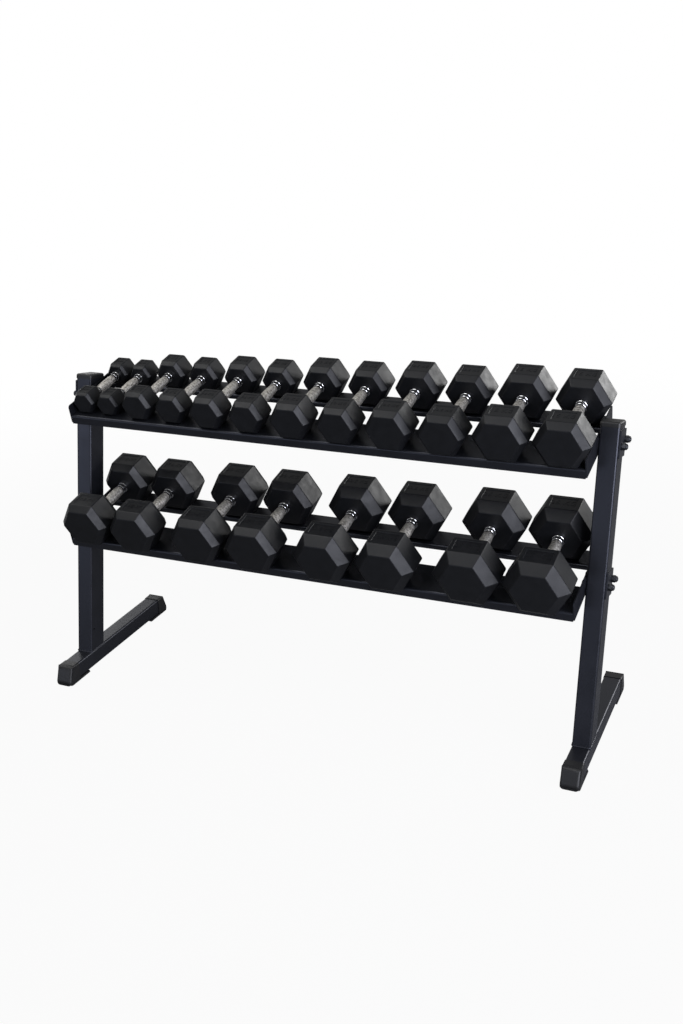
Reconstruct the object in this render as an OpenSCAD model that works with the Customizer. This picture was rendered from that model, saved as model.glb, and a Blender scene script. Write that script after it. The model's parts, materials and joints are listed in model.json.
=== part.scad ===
// Two-tier dumbbell rack loaded with ten pairs of hexagonal rubber dumbbells.
// Millimetres. X runs along the rack, Y from front to back, Z up.
// Origin: on the floor, in the middle of the rack's footprint.

/* [Rack frame] */
// Clear width between the two uprights
bay_width = 1500; // [1480:10:1700]
// Backward lean of the uprights, degrees
upright_lean = 11; // [8:1:14]
// Length of each upright tube along its front face
upright_length = 850; // [840:5:950]
// Width of the upright tube along the rack
upright_width = 50; // [40:1:60]
// Depth of the upright tube from front to back
upright_depth = 70; // [66:1:80]
// Distance from the tip of the foot to the upright's front face
upright_setback = 124; // [115:1:135]
// Overall length of a foot with both its caps
foot_length = 570; // [550:5:620]
// Width and height of the square foot tube
foot_tube = 50; // [40:1:60]
// Wall thickness of all the tubes
tube_wall = 2; // [1.5:0.5:3]
// Outer corner radius of the tubes
tube_corner = 6; // [4:0.5:8]
// Diameter of the small drain hole in each upright's inner wall
drain_hole = 6; // [4:1:8]
// Height of the drain hole along the upright
drain_height = 73; // [60:1:100]

/* [Trays] */
// Slope of the trays, front edge low, degrees
tray_slope = 11; // [8:1:14]
// Height of the lower tray along the upright's front face
lower_height = 400; // [390:1:415]
// Height of the upper tray along the upright's front face
upper_height = 761; // [750:1:770]
// How far the trays reach in front of the uprights
tray_reach = 101; // [95:1:110]
// Depth of the rear rail's top
rear_rail = 75; // [70:1:85]
// Open gap between the front and the rear rail
rail_gap = 89; // [84:1:94]
// Height of the front and rear lips of the tray
lip_height = 26; // [22:1:30]
// Drop of the two inner edges of the rails
return_drop = 14; // [10:1:18]
// Thickness of the rail and end-plate sheet
sheet = 3; // [2:0.5:4]
// Outer bend radius of the folded rails
bend = 7; // [5:0.5:8]
// Height of the end plates above the tray's underside
plate_height = 56; // [52:1:58]
// Corner radius of the end plates
plate_corner = 8; // [4:1:12]
// Thickness of the spacer pads between end plates and uprights
pad_sheet = 2; // [1:0.5:3]

/* [Fasteners] */
// Bolt diameter
bolt_d = 10; // [8:1:10]
// Distance between the two bolts of one joint
bolt_pitch = 39; // [36:1:40]
// Height of the bolts above the tray's underside
bolt_height = 25; // [22:1:30]
// Width across the flats of bolt heads and nuts
wrench = 17; // [15:0.5:17]
// Thickness of the bolt heads
bolt_head = 6.4; // [5:0.1:8]
// Thickness of the washers
washer = 2; // [1.5:0.5:2.5]
// Height of the hexagonal part of the locking nuts
nut_hex = 8; // [7:0.5:10]
// Height of the nuts' round collar
nut_collar = 4; // [2:0.5:5]
// How far the bolt stands out of the nut
bolt_tip = 2; // [1:0.5:5]
// Thickness of the backing plates outside the uprights
backing = 4; // [3:0.5:6]
// Height of the backing plates
backing_height = 70; // [66:1:80]

/* [Caps] */
// Plastic showing outside the tubes all round
cap_skin = 1.5; // [1.2:0.1:2.5]
// Thickness of the pad below the feet
pad = 6; // [4:0.5:10]
// Length of the pad below the foot, from the cap's tip
pad_length = 105; // [90:1:115]
// Length of the sleeve round the foot tube, from the cap's tip
sleeve = 55; // [50:1:65]
// Solid nose in front of the foot tube
nose = 24; // [22:1:30]
// Slant of the nose from upright, degrees
nose_slant = 21; // [15:1:24]
// Radius of the nose's lower edge
nose_radius = 8; // [5:1:10]
// Height of the upright caps above the tubes
cap_top = 7; // [6:0.5:10]
// Skirt of the upright caps down the tubes
cap_skirt = 7; // [5:0.5:12]

/* [Dumbbells] */
// Rubber left in front of the handle's end
end_cover = 15; // [12:1:20]
// Diameter of the handle inside the heads
spigot_d = 20; // [18:1:21]
// Width of the collar beside each head
collar_width = 7; // [5:1:9]
// Width of the narrow ring between collar and grip
ring_width = 6; // [4:1:8]
// Width of the grooves on both sides of that ring
groove_width = 5; // [3:0.5:6]
// How much the grip swells in the middle
swell = 2; // [1:0.5:2]
// Distance of the dumbbells' middle from the tray's front edge, upper tier
upper_middle = 142; // [140:1:148]
// Distance of the dumbbells' middle from the tray's front edge, lower tier
lower_middle = 135; // [133:1:142]

/* [Hidden] */
$fn = 64;
clearance = 0.3;
hole_play = 0.5;
cut = 10;
hex_sides = 6;
hex_turn = 60;
cap_round = 6;
arc_facets = 1080;
nose_round = 8;
pad_round = 2;
plan_round = 10;
washer_d = 20;
collar_gap = 0.6;
ring_step = 1.2;
drain_edge = 15;
backing_inset = 4;

half_bay = bay_width / 2;
half_foot = foot_length / 2;
foot_top = pad + foot_tube;
upright_y = upright_setback - half_foot;
cross_angle = upright_lean + tray_slope;
// Middle of the two bolts: the upright's centre line at bolt height, a touch behind it
bolt_bias = 2;
bolt_middle = tray_reach + bolt_height * tan(cross_angle)
    + upright_depth / cos(cross_angle) / 2 + bolt_bias;
// The front rail ends in front of the bolt heads
head_room = 31;
front_rail = bolt_middle - head_room;
tray_depth = front_rail + rail_gap + rear_rail;
plate_margin = 2;
rail_half = half_bay - pad_sheet - sheet;
nut_d = wrench / cos(hex_turn / 2);
outer_face = half_bay + upright_width;
tube_radius = tube_corner + cap_skin;
// Middle of the backing plate above the tray's underside, along the upright
backing_rise = 8;

// One row for each pair: width across flats, overall length, grip length, grip diameter,
// width of the end faces across flats, depth of the bevels
pairs = [
    [63.8, 251, 122.5, 26, 52.6, 10.6],
    [84.5, 273, 128, 27, 67, 13.6],
    [92.7, 295.5, 129, 28, 72.8, 15.6],
    [103.8, 314.5, 129, 29, 82.8, 17.6],
    [113.5, 326, 129, 30, 91, 19.6],
    [127.3, 328, 129, 31, 98.4, 20],
    [131.6, 340, 131, 31, 102.4, 20.6],
    [137.7, 352, 131, 32, 109.6, 21],
    [146, 365, 131, 32, 102.4, 26.4],
    [154.5, 366, 131, 32, 105.8, 26.6]
];
// Places along the rack, as a share of half the clear width
upper_places = [-0.9445, -0.838, -0.701, -0.556, -0.396, -0.234,
    -0.055, 0.126, 0.318, 0.508, 0.711, 0.916];
lower_places = [-0.897, -0.683, -0.406, -0.176, 0.103, 0.341, 0.635, 0.879];
upper_pairs = len(upper_places) / 2;

// Sub-part to build on its own, or "all"

// ---- shared shapes ----

module rounded(w, h, r) {
    translate([r, 0]) square([w - 2 * r, h]);
    translate([0, r]) square([w, h - 2 * r]);
    for (x = [r, w - r]) for (y = [r, h - r]) translate([x, y]) circle(r = r);
}

// Rounded at the top corners only
module arched(w, h, r) {
    rounded(w, h, r);
    square([w, h / 2]);
}

module both_ends() {
    children();
    mirror([1, 0, 0]) children();
}

module both_sides() {
    children();
    mirror([0, 1, 0]) children();
}

// Outline drawn in Y and Z, drawn out along X
module along_x(length) {
    rotate([90, 0, 90]) linear_extrude(length) children();
}

// Outline drawn in X and Z, drawn out along Y
module along_y(length) {
    translate([0, length, 0]) rotate([90, 0, 0]) linear_extrude(length) children();
}

// Local frame of an upright: origin at its front face on the foot, Z along the tube
module on_upright() {
    translate([0, upright_y, foot_top]) rotate([-upright_lean, 0, 0]) children();
}

// Local frame of a tray: origin at its front lower edge, Y up the slope
module on_tray(height) {
    on_upright() translate([0, 0, height]) rotate([cross_angle, 0, 0])
        translate([0, -tray_reach, 0]) children();
}

// The two bolt places of one tray end
module at_bolts(height) {
    on_tray(height) for (s = [-1, 1])
        translate([0, bolt_middle + s * bolt_pitch / 2, bolt_height]) children();
}

module all_bolts() {
    both_ends() for (h = [lower_height, upper_height]) at_bolts(h) children();
}

module bolt_bores(height) {
    at_bolts(height) translate([half_bay - cut, 0, 0])
        rotate([0, 90, 0]) cylinder(d = bolt_d + 2 * hole_play, h = upright_width + 2 * cut);
}

// ---- feet and uprights ----

module foot() {
    translate([half_bay + (upright_width - foot_tube) / 2, nose - half_foot, pad])
        along_y(foot_length - 2 * nose) difference() {
            rounded(foot_tube, foot_tube, tube_corner);
            translate([tube_wall, tube_wall])
                rounded(foot_tube - 2 * tube_wall, foot_tube - 2 * tube_wall, tube_corner - tube_wall);
        }
}

module upright() {
    difference() {
        on_upright() translate([half_bay, 0, -cut])
            linear_extrude(upright_length + cut) difference() {
                rounded(upright_width, upright_depth, tube_corner);
                translate([tube_wall, tube_wall])
                    rounded(upright_width - 2 * tube_wall, upright_depth - 2 * tube_wall,
                        tube_corner - tube_wall);
            }
        translate([half_bay - cut, -half_foot, 0])
            cube([upright_width + 2 * cut, foot_length, foot_top]);
        bolt_bores(lower_height);
        bolt_bores(upper_height);
        on_upright() translate([half_bay - cut, drain_edge, drain_height])
            rotate([0, 90, 0]) cylinder(d = drain_hole, h = 2 * cut);
    }
}

module upright_cap() {
    w = upright_width + 2 * cap_skin;
    d = upright_depth + 2 * cap_skin;
    h = cap_skirt + cap_top;
    on_upright() translate([half_bay - cap_skin, -cap_skin, upright_length - cap_skirt])
        difference() {
            intersection() {
                linear_extrude(h) rounded(w, d, tube_radius);
                along_x(w) arched(d, h, cap_round);
                along_y(d) arched(w, h, cap_round);
            }
            translate([cap_skin - clearance, cap_skin - clearance, -cut])
                linear_extrude(cap_skirt + cut)
                rounded(upright_width + 2 * clearance, upright_depth + 2 * clearance,
                    tube_corner + clearance);
        }
}

// Side view of a foot cap: slanting nose, rounded above and below, sleeve and floor pad
module cap_side() {
    top = foot_top + cap_skin;
    z_mid = top - nose_round;
    y_mid = nose_radius - nose_radius / cos(nose_slant)
        + (z_mid - nose_radius) * tan(nose_slant) + nose_round / cos(nose_slant);
    polygon([
        [nose_radius, 0],
        [pad_length, 0],
        [pad_length, pad],
        [sleeve, pad],
        [sleeve, top],
        [y_mid, top],
        [y_mid - nose_round * cos(nose_slant), z_mid + nose_round * sin(nose_slant)],
        [nose_radius * (1 - cos(nose_slant)), nose_radius * (1 + sin(nose_slant))]
    ]);
    translate([y_mid, z_mid]) circle(r = nose_round);
    translate([nose_radius, nose_radius]) circle(r = nose_radius);
}

module foot_cap() {
    w = foot_tube + 2 * cap_skin;
    top = foot_top + cap_skin;
    bore = foot_tube + 2 * clearance;
    translate([half_bay + (upright_width - w) / 2, -half_foot, 0])
        difference() {
            intersection() {
                along_x(w) cap_side();
                along_y(pad_length) union() {
                    rounded(w, top, tube_radius);
                    rounded(w, top / 2, pad_round);
                }
                linear_extrude(top) union() {
                    rounded(w, pad_length, plan_round);
                    translate([0, pad_length / 2]) square([w, pad_length / 2]);
                }
            }
            translate([cap_skin - clearance, nose, pad])
                along_y(pad_length) arched(bore, foot_tube + clearance, tube_corner + clearance);
        }
}

// ---- trays ----

// Folded channel, open below: lip on one side, short return on the other
module channel(width, left_drop, right_drop) {
    deep = lip_height + 2 * bend;
    translate([0, lip_height - deep]) difference() {
        rounded(width, deep, bend);
        translate([sheet, -deep]) rounded(width - 2 * sheet, 2 * deep - sheet, bend - sheet);
        translate([-sheet, -sheet]) square([3 * sheet, deep - left_drop + sheet]);
        translate([width - 2 * sheet, -sheet]) square([3 * sheet, deep - right_drop + sheet]);
    }
}

module front_rail_at(height) {
    on_tray(height) translate([-rail_half, 0, 0])
        along_x(2 * rail_half) channel(front_rail, lip_height, return_drop);
}

module rear_rail_at(height) {
    on_tray(height) translate([-rail_half, front_rail + rail_gap, 0])
        along_x(2 * rail_half) channel(rear_rail, return_drop, lip_height);
}

module end_plate(height) {
    difference() {
        on_tray(height) translate([rail_half, 0, 0])
            along_x(sheet) rounded(tray_depth + plate_margin, plate_height, plate_corner);
        bolt_bores(height);
    }
}

module spacer_pad(height) {
    difference() {
        on_tray(height) translate([rail_half + sheet, bolt_middle - upright_depth / 2, bend])
            along_x(pad_sheet) rounded(upright_depth, plate_height - 2 * bend, pad_round);
        bolt_bores(height);
    }
}

module backing_plate(height) {
    difference() {
        on_upright() translate([outer_face, backing_inset / 2,
            height + bolt_height + backing_rise + tube_radius - backing_height / 2])
            along_x(backing) rounded(upright_depth - backing_inset, backing_height, pad_round);
        at_bolts(height) translate([outer_face - cut, 0, 0])
            rotate([0, 90, 0]) cylinder(d = bolt_d + 2 * hole_play, h = backing + 2 * cut);
    }
}

// ---- fasteners ----

module bolt() {
    start = rail_half - washer - bolt_head;
    stop = outer_face + backing + washer + nut_hex + nut_collar + bolt_tip;
    translate([start, 0, 0]) rotate([0, 90, 0]) cylinder(d = nut_d, h = bolt_head, $fn = hex_sides);
    translate([start, 0, 0]) rotate([0, 90, 0]) cylinder(d = bolt_d, h = stop - start);
}

module washer_at(x) {
    translate([x, 0, 0]) rotate([0, 90, 0]) difference() {
        cylinder(d = washer_d, h = washer);
        translate([0, 0, -cut]) cylinder(d = bolt_d + 2 * hole_play, h = washer + 2 * cut);
    }
}

module nut() {
    translate([outer_face + backing + washer, 0, 0]) rotate([0, 90, 0]) difference() {
        union() {
            cylinder(d = nut_d, h = nut_hex, $fn = hex_sides);
            cylinder(d = wrench - 2 * hole_play, h = nut_hex + nut_collar);
        }
        translate([0, 0, -cut])
            cylinder(d = bolt_d + 2 * clearance, h = nut_hex + nut_collar + 2 * cut);
    }
}

// ---- dumbbells ----

// Corners of one ring of a head: across-flats width and place along the axis
function ring(flats, y) = [for (k = [0 : hex_sides - 1])
    [flats / 2 / cos(hex_turn / 2) * cos(k * hex_turn), y,
        flats / 2 / cos(hex_turn / 2) * sin(k * hex_turn)]];

// Hexagonal block with both ends bevelled: width of its end faces, depth of its bevels
module hex_block(flats, length, face, c) {
    points = concat(ring(face, 0), ring(flats, c), ring(flats, length - c), ring(face, length));
    sides = [for (r = [0 : 2]) for (k = [0 : hex_sides - 1])
        [r * hex_sides + k, (r + 1) * hex_sides + k,
            (r + 1) * hex_sides + (k + 1) % hex_sides, r * hex_sides + (k + 1) % hex_sides]];
    near = [for (k = [0 : hex_sides - 1]) k];
    far = [for (k = [hex_sides - 1 : -1 : 0]) 3 * hex_sides + k];
    polyhedron(points, concat([near], sides, [far]));
}

module head(flats, length, face, bevel) {
    difference() {
        hex_block(flats, length, face, bevel);
        translate([0, -cut, 0]) rotate([-90, 0, 0])
            cylinder(d = spigot_d + 2 * clearance, h = length - end_cover + cut);
    }
}

module head_pair(size) {
    flats = size[0];
    grip = size[2];
    length = (size[1] - grip) / 2;
    both_sides() translate([0, grip / 2, 0]) head(flats, length, size[4], size[5]);
}

// Round collar or ring of the handle, from one place along it, on both sides
module band(start, width, radius) {
    translate([0, start]) square([radius, width]);
    translate([0, -start - width]) square([radius, width]);
}

module handle_bar(size) {
    bar = size[1] - 2 * end_cover;
    mid = size[3] / 2;
    collar_at = size[2] / 2 - collar_width;
    ring_at = collar_at - groove_width - ring_width;
    arc_half = ring_at - groove_width;
    arc = (arc_half * arc_half + swell * swell) / (2 * swell);
    rotate([-90, 0, 0]) rotate_extrude() union() {
        translate([0, -bar / 2]) square([spigot_d / 2, bar]);
        band(collar_at, collar_width, mid + collar_gap);
        band(ring_at, ring_width, mid - ring_step);
        intersection() {
            translate([mid - arc, 0]) circle(r = arc, $fn = arc_facets);
            translate([0, -arc_half]) square([mid, 2 * arc_half]);
        }
    }
}

function upper_size(i) = pairs[floor((i - 1) / 2)];
function lower_size(i) = pairs[upper_pairs + floor((i - 1) / 2)];

module on_upper(i) {
    on_tray(upper_height) translate([upper_places[i - 1] * half_bay, upper_middle,
        lip_height + upper_size(i)[0] / 2]) children();
}

module on_lower(i) {
    on_tray(lower_height) translate([lower_places[i - 1] * half_bay, lower_middle,
        lip_height + lower_size(i)[0] / 2]) children();
}

// ---- sub-parts ----

paint = "#202226";
plastic = "#17181a";
zinc = "#8c9096";
rubber = "#1b1c1e";
chrome = "#c9cbce";

module left_foot() {
    color(paint) mirror([1, 0, 0]) foot();
}

module right_foot() {
    color(paint) foot();
}

module left_upright() {
    color(paint) mirror([1, 0, 0]) upright();
}

module right_upright() {
    color(paint) upright();
}

module upright_caps() {
    color(plastic) both_ends() upright_cap();
}

module front_foot_caps() {
    color(plastic) both_ends() foot_cap();
}

module rear_foot_caps() {
    color(plastic) mirror([0, 1, 0]) both_ends() foot_cap();
}

module upper_front_rail() {
    color(paint) front_rail_at(upper_height);
}

module upper_rear_rail() {
    color(paint) rear_rail_at(upper_height);
}

module lower_front_rail() {
    color(paint) front_rail_at(lower_height);
}

module lower_rear_rail() {
    color(paint) rear_rail_at(lower_height);
}

module upper_left_end_plate() {
    color(paint) mirror([1, 0, 0]) end_plate(upper_height);
}

module upper_right_end_plate() {
    color(paint) end_plate(upper_height);
}

module lower_left_end_plate() {
    color(paint) mirror([1, 0, 0]) end_plate(lower_height);
}

module lower_right_end_plate() {
    color(paint) end_plate(lower_height);
}

module spacer_pads() {
    color(paint) both_ends() for (h = [lower_height, upper_height]) spacer_pad(h);
}

module backing_plates() {
    color(paint) both_ends() for (h = [lower_height, upper_height]) backing_plate(h);
}

module bolts() {
    color(zinc) all_bolts() bolt();
}

module washers() {
    color(zinc) all_bolts() {
        washer_at(rail_half - washer);
        washer_at(outer_face + backing);
    }
}

module nuts() {
    color(zinc) all_bolts() nut();
}

module upper_heads_1() {
    color(rubber) on_upper(1) head_pair(upper_size(1));
}

module upper_heads_2() {
    color(rubber) on_upper(2) head_pair(upper_size(2));
}

module upper_heads_3() {
    color(rubber) on_upper(3) head_pair(upper_size(3));
}

module upper_heads_4() {
    color(rubber) on_upper(4) head_pair(upper_size(4));
}

module upper_heads_5() {
    color(rubber) on_upper(5) head_pair(upper_size(5));
}

module upper_heads_6() {
    color(rubber) on_upper(6) head_pair(upper_size(6));
}

module upper_heads_7() {
    color(rubber) on_upper(7) head_pair(upper_size(7));
}

module upper_heads_8() {
    color(rubber) on_upper(8) head_pair(upper_size(8));
}

module upper_heads_9() {
    color(rubber) on_upper(9) head_pair(upper_size(9));
}

module upper_heads_10() {
    color(rubber) on_upper(10) head_pair(upper_size(10));
}

module upper_heads_11() {
    color(rubber) on_upper(11) head_pair(upper_size(11));
}

module upper_heads_12() {
    color(rubber) on_upper(12) head_pair(upper_size(12));
}

module lower_heads_1() {
    color(rubber) on_lower(1) head_pair(lower_size(1));
}

module lower_heads_2() {
    color(rubber) on_lower(2) head_pair(lower_size(2));
}

module lower_heads_3() {
    color(rubber) on_lower(3) head_pair(lower_size(3));
}

module lower_heads_4() {
    color(rubber) on_lower(4) head_pair(lower_size(4));
}

module lower_heads_5() {
    color(rubber) on_lower(5) head_pair(lower_size(5));
}

module lower_heads_6() {
    color(rubber) on_lower(6) head_pair(lower_size(6));
}

module lower_heads_7() {
    color(rubber) on_lower(7) head_pair(lower_size(7));
}

module lower_heads_8() {
    color(rubber) on_lower(8) head_pair(lower_size(8));
}

module upper_handle_1() {
    color(chrome) on_upper(1) handle_bar(upper_size(1));
}

module upper_handle_2() {
    color(chrome) on_upper(2) handle_bar(upper_size(2));
}

module upper_handle_3() {
    color(chrome) on_upper(3) handle_bar(upper_size(3));
}

module upper_handle_4() {
    color(chrome) on_upper(4) handle_bar(upper_size(4));
}

module upper_handle_5() {
    color(chrome) on_upper(5) handle_bar(upper_size(5));
}

module upper_handle_6() {
    color(chrome) on_upper(6) handle_bar(upper_size(6));
}

module upper_handle_7() {
    color(chrome) on_upper(7) handle_bar(upper_size(7));
}

module upper_handle_8() {
    color(chrome) on_upper(8) handle_bar(upper_size(8));
}

module upper_handle_9() {
    color(chrome) on_upper(9) handle_bar(upper_size(9));
}

module upper_handle_10() {
    color(chrome) on_upper(10) handle_bar(upper_size(10));
}

module upper_handle_11() {
    color(chrome) on_upper(11) handle_bar(upper_size(11));
}

module upper_handle_12() {
    color(chrome) on_upper(12) handle_bar(upper_size(12));
}

module lower_handle_1() {
    color(chrome) on_lower(1) handle_bar(lower_size(1));
}

module lower_handle_2() {
    color(chrome) on_lower(2) handle_bar(lower_size(2));
}

module lower_handle_3() {
    color(chrome) on_lower(3) handle_bar(lower_size(3));
}

module lower_handle_4() {
    color(chrome) on_lower(4) handle_bar(lower_size(4));
}

module lower_handle_5() {
    color(chrome) on_lower(5) handle_bar(lower_size(5));
}

module lower_handle_6() {
    color(chrome) on_lower(6) handle_bar(lower_size(6));
}

module lower_handle_7() {
    color(chrome) on_lower(7) handle_bar(lower_size(7));
}

module lower_handle_8() {
    color(chrome) on_lower(8) handle_bar(lower_size(8));
}

left_foot();
right_foot();
left_upright();
right_upright();
upright_caps();
front_foot_caps();
rear_foot_caps();
upper_front_rail();
upper_rear_rail();
lower_front_rail();
lower_rear_rail();
upper_left_end_plate();
upper_right_end_plate();
lower_left_end_plate();
lower_right_end_plate();
spacer_pads();
backing_plates();
bolts();
washers();
nuts();
upper_heads_1();
upper_heads_2();
upper_heads_3();
upper_heads_4();
upper_heads_5();
upper_heads_6();
upper_heads_7();
upper_heads_8();
upper_heads_9();
upper_heads_10();
upper_heads_11();
upper_heads_12();
lower_heads_1();
lower_heads_2();
lower_heads_3();
lower_heads_4();
lower_heads_5();
lower_heads_6();
lower_heads_7();
lower_heads_8();
upper_handle_1();
upper_handle_2();
upper_handle_3();
upper_handle_4();
upper_handle_5();
upper_handle_6();
upper_handle_7();
upper_handle_8();
upper_handle_9();
upper_handle_10();
upper_handle_11();
upper_handle_12();
lower_handle_1();
lower_handle_2();
lower_handle_3();
lower_handle_4();
lower_handle_5();
lower_handle_6();
lower_handle_7();
lower_handle_8();
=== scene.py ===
# %% [markdown]
# # A loaded dumbbell rack
# The rack is a welded and bolted steel frame with sloped trays, and it carries hexagonal
# rubber dumbbells with chromed handles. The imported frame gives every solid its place. This
# lesson dresses it: it models what a plain solid can't show and gives each surface a finish.

# %% Load the frame
import json
import math

import bpy
import bmesh
from mathutils import Matrix, Vector


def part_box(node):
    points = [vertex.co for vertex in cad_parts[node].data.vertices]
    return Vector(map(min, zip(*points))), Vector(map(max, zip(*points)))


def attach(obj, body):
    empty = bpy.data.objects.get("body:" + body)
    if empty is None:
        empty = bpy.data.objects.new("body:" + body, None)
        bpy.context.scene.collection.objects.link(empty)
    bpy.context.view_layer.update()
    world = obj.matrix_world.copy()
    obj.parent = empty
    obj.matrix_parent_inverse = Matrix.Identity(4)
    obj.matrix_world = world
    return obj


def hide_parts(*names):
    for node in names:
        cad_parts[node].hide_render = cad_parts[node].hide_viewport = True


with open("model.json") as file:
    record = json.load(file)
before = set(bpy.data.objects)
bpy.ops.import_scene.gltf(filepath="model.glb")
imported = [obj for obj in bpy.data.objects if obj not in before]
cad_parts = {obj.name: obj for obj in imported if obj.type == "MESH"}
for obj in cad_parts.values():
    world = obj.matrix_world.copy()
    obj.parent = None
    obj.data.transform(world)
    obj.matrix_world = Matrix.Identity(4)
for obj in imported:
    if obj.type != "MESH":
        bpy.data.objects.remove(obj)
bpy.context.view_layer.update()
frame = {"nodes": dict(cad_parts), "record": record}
nodes = frame["nodes"]

# %% [markdown]
# A few helpers come first. Blender's operators act on everything that is selected, and the
# frame arrives selected, so each new piece starts from an empty selection. A finished piece
# keeps its object at the origin, with its place in its mesh, so a pattern that reads object
# coordinates stays where it belongs.

# %% Helpers for modelling
MM = 0.001


def deselect():
    if bpy.context.mode != "OBJECT":
        bpy.ops.object.mode_set(mode="OBJECT")
    bpy.ops.object.select_all(action="DESELECT")


def settle(obj, place=None):
    """Puts the object's own place, and another one if given, into its mesh."""
    m = obj.matrix_world.copy()
    obj.matrix_world = Matrix.Identity(4)
    obj.data.transform(place @ m if place else m)
    return obj


def edit_select(obj, test, kind="faces"):
    """Enters edit mode with only those faces, edges or vertices selected that pass the test."""
    bpy.context.view_layer.objects.active = obj
    bpy.ops.object.mode_set(mode="EDIT")
    bpy.ops.mesh.select_mode(type={"faces": "FACE", "edges": "EDGE", "verts": "VERT"}[kind])
    bpy.ops.mesh.select_all(action="DESELECT")
    bm = bmesh.from_edit_mesh(obj.data)
    for part in getattr(bm, kind):
        if test(part):
            part.select_set(True)
    bm.select_flush_mode()
    bmesh.update_edit_mesh(obj.data)


def leave_edit():
    bpy.ops.object.mode_set(mode="OBJECT")


def join(name, objs):
    deselect()
    for o in objs:
        o.select_set(True)
    bpy.context.view_layer.objects.active = objs[0]
    bpy.ops.object.join()
    objs[0].name = objs[0].data.name = name
    return objs[0]


def smooth(obj, degrees=35):
    """Smooth shading that follows the large faces, so flats stay flat beside round edges."""
    deselect()
    obj.select_set(True)
    bpy.context.view_layer.objects.active = obj
    bpy.ops.object.shade_smooth_by_angle(angle=math.radians(degrees))
    bpy.ops.object.modifier_add(type="WEIGHTED_NORMAL")
    obj.modifiers[-1].keep_sharp = True
    bpy.ops.object.modifier_apply(modifier=obj.modifiers[-1].name)


def copy_of(obj, name, place=None):
    twin = obj.copy()
    twin.data = obj.data.copy()
    twin.name = twin.data.name = name
    bpy.context.scene.collection.objects.link(twin)
    if place:
        twin.data.transform(place)
    return twin


print("helpers ready")

# %% [markdown]
# Materials are built from nodes. Colours are written as hex values, as on a screen, and one
# function turns them to the linear values that the shaders use. Another adds a node with its
# settings and links, which keeps each recipe short enough to read.

# %% Helpers for materials
def colour(text):
    parts = [int(text[i:i + 2], 16) / 255 for i in (1, 3, 5)]
    return [c / 12.92 if c <= 0.04045 else ((c + 0.055) / 1.055) ** 2.4 for c in parts] + [1.0]


def add(tree, kind, inputs=None, **settings):
    """Adds a node. An input's value may be a plain value or another node's output socket."""
    n = tree.nodes.new(kind)
    for key, value in settings.items():
        setattr(n, key, value)
    for key, value in (inputs or {}).items():
        if isinstance(value, bpy.types.NodeSocket):
            tree.links.new(value, n.inputs[key])
        else:
            n.inputs[key].default_value = value
    return n


def new_material(name):
    m = bpy.data.materials.new(name)
    m.use_nodes = True
    m.node_tree.nodes.clear()
    return m, m.node_tree


def give(obj, mat):
    obj.data.materials.clear()
    obj.data.materials.append(mat)
    for p in obj.data.polygons:
        p.material_index = 0


print("black paint in linear values:", [round(v, 4) for v in colour("#1b1c20")])

# %% [markdown]
# ## Powder-coated steel
# The frame is mild steel under a black polyester powder coat. The powder melts in an oven into
# a skin with a faint orange-peel texture, a satin gloss and a slightly blue black. The base is
# very dark, so most of what the eye sees is the satin reflection.

# %% Black powder coat
def powder_coat():
    mat, t = new_material("powder_coat_black")
    place = add(t, "ShaderNodeTexCoord").outputs["Object"]
    # large soft clouds: uneven film thickness, about 60 mm across
    cloud = add(t, "ShaderNodeTexNoise", {"Vector": place, "Scale": 16.0, "Detail": 3.0})
    # orange peel: bumps 3 mm apart, twice as coarse as the real ones so that they show
    peel = add(t, "ShaderNodeTexNoise", {"Vector": place, "Scale": 330.0, "Detail": 2.0})
    base = add(t, "ShaderNodeMix", {"Factor": cloud.outputs["Fac"], "A": colour("#101114"),
                                    "B": colour("#18191d")}, data_type="RGBA")
    rough = add(t, "ShaderNodeMapRange", {"Value": cloud.outputs["Fac"], "From Min": 0.3,
                                          "From Max": 0.7, "To Min": 0.30, "To Max": 0.40})
    bump = add(t, "ShaderNodeBump", {"Height": peel.outputs["Fac"], "Strength": 0.06,
                                     "Distance": 0.0006})
    skin = add(t, "ShaderNodeBsdfPrincipled", {
        "Base Color": base.outputs["Result"], "Roughness": rough.outputs["Result"],
        "Normal": bump.outputs["Normal"], "IOR": 1.5, "Specular Tint": colour("#e9edff")})
    add(t, "ShaderNodeOutputMaterial", {"Surface": skin.outputs["BSDF"]})
    return mat


paint = powder_coat()
print("made", paint.name)

# %% [markdown]
# ## Moulded polypropylene
# The caps on the tube ends are injection-moulded polypropylene. The mould is spark-eroded, so
# the plastic comes out matt and finely grained and never as blue as the paint beside it.

# %% Black moulded plastic
def moulded_plastic():
    mat, t = new_material("polypropylene_black")
    place = add(t, "ShaderNodeTexCoord").outputs["Object"]
    # spark-eroded grain, 0.5 mm on the real part, drawn at 1.6 mm so that it shows
    grain = add(t, "ShaderNodeTexNoise", {"Vector": place, "Scale": 620.0, "Detail": 3.0})
    scuff = add(t, "ShaderNodeTexNoise", {"Vector": place, "Scale": 45.0, "Detail": 5.0})
    base = add(t, "ShaderNodeMix", {"Factor": scuff.outputs["Fac"], "A": colour("#0e0e0f"),
                                    "B": colour("#181819")}, data_type="RGBA")
    bump = add(t, "ShaderNodeBump", {"Height": grain.outputs["Fac"], "Strength": 0.25,
                                     "Distance": 0.0005})
    skin = add(t, "ShaderNodeBsdfPrincipled", {
        "Base Color": base.outputs["Result"], "Roughness": 0.44,
        "Normal": bump.outputs["Normal"], "IOR": 1.49})
    add(t, "ShaderNodeOutputMaterial", {"Surface": skin.outputs["BSDF"]})
    return mat


plastic = moulded_plastic()
print("made", plastic.name)

# %% [markdown]
# ## Moulded rubber
# The heads are iron blocks coated in black rubber in a polished mould. New rubber is dense
# black with a satin skin, and it bleeds a little wax, which leaves cloudy, slightly duller
# patches. Low specular keeps the end faces dark, and the bevels catch the lamps.

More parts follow.
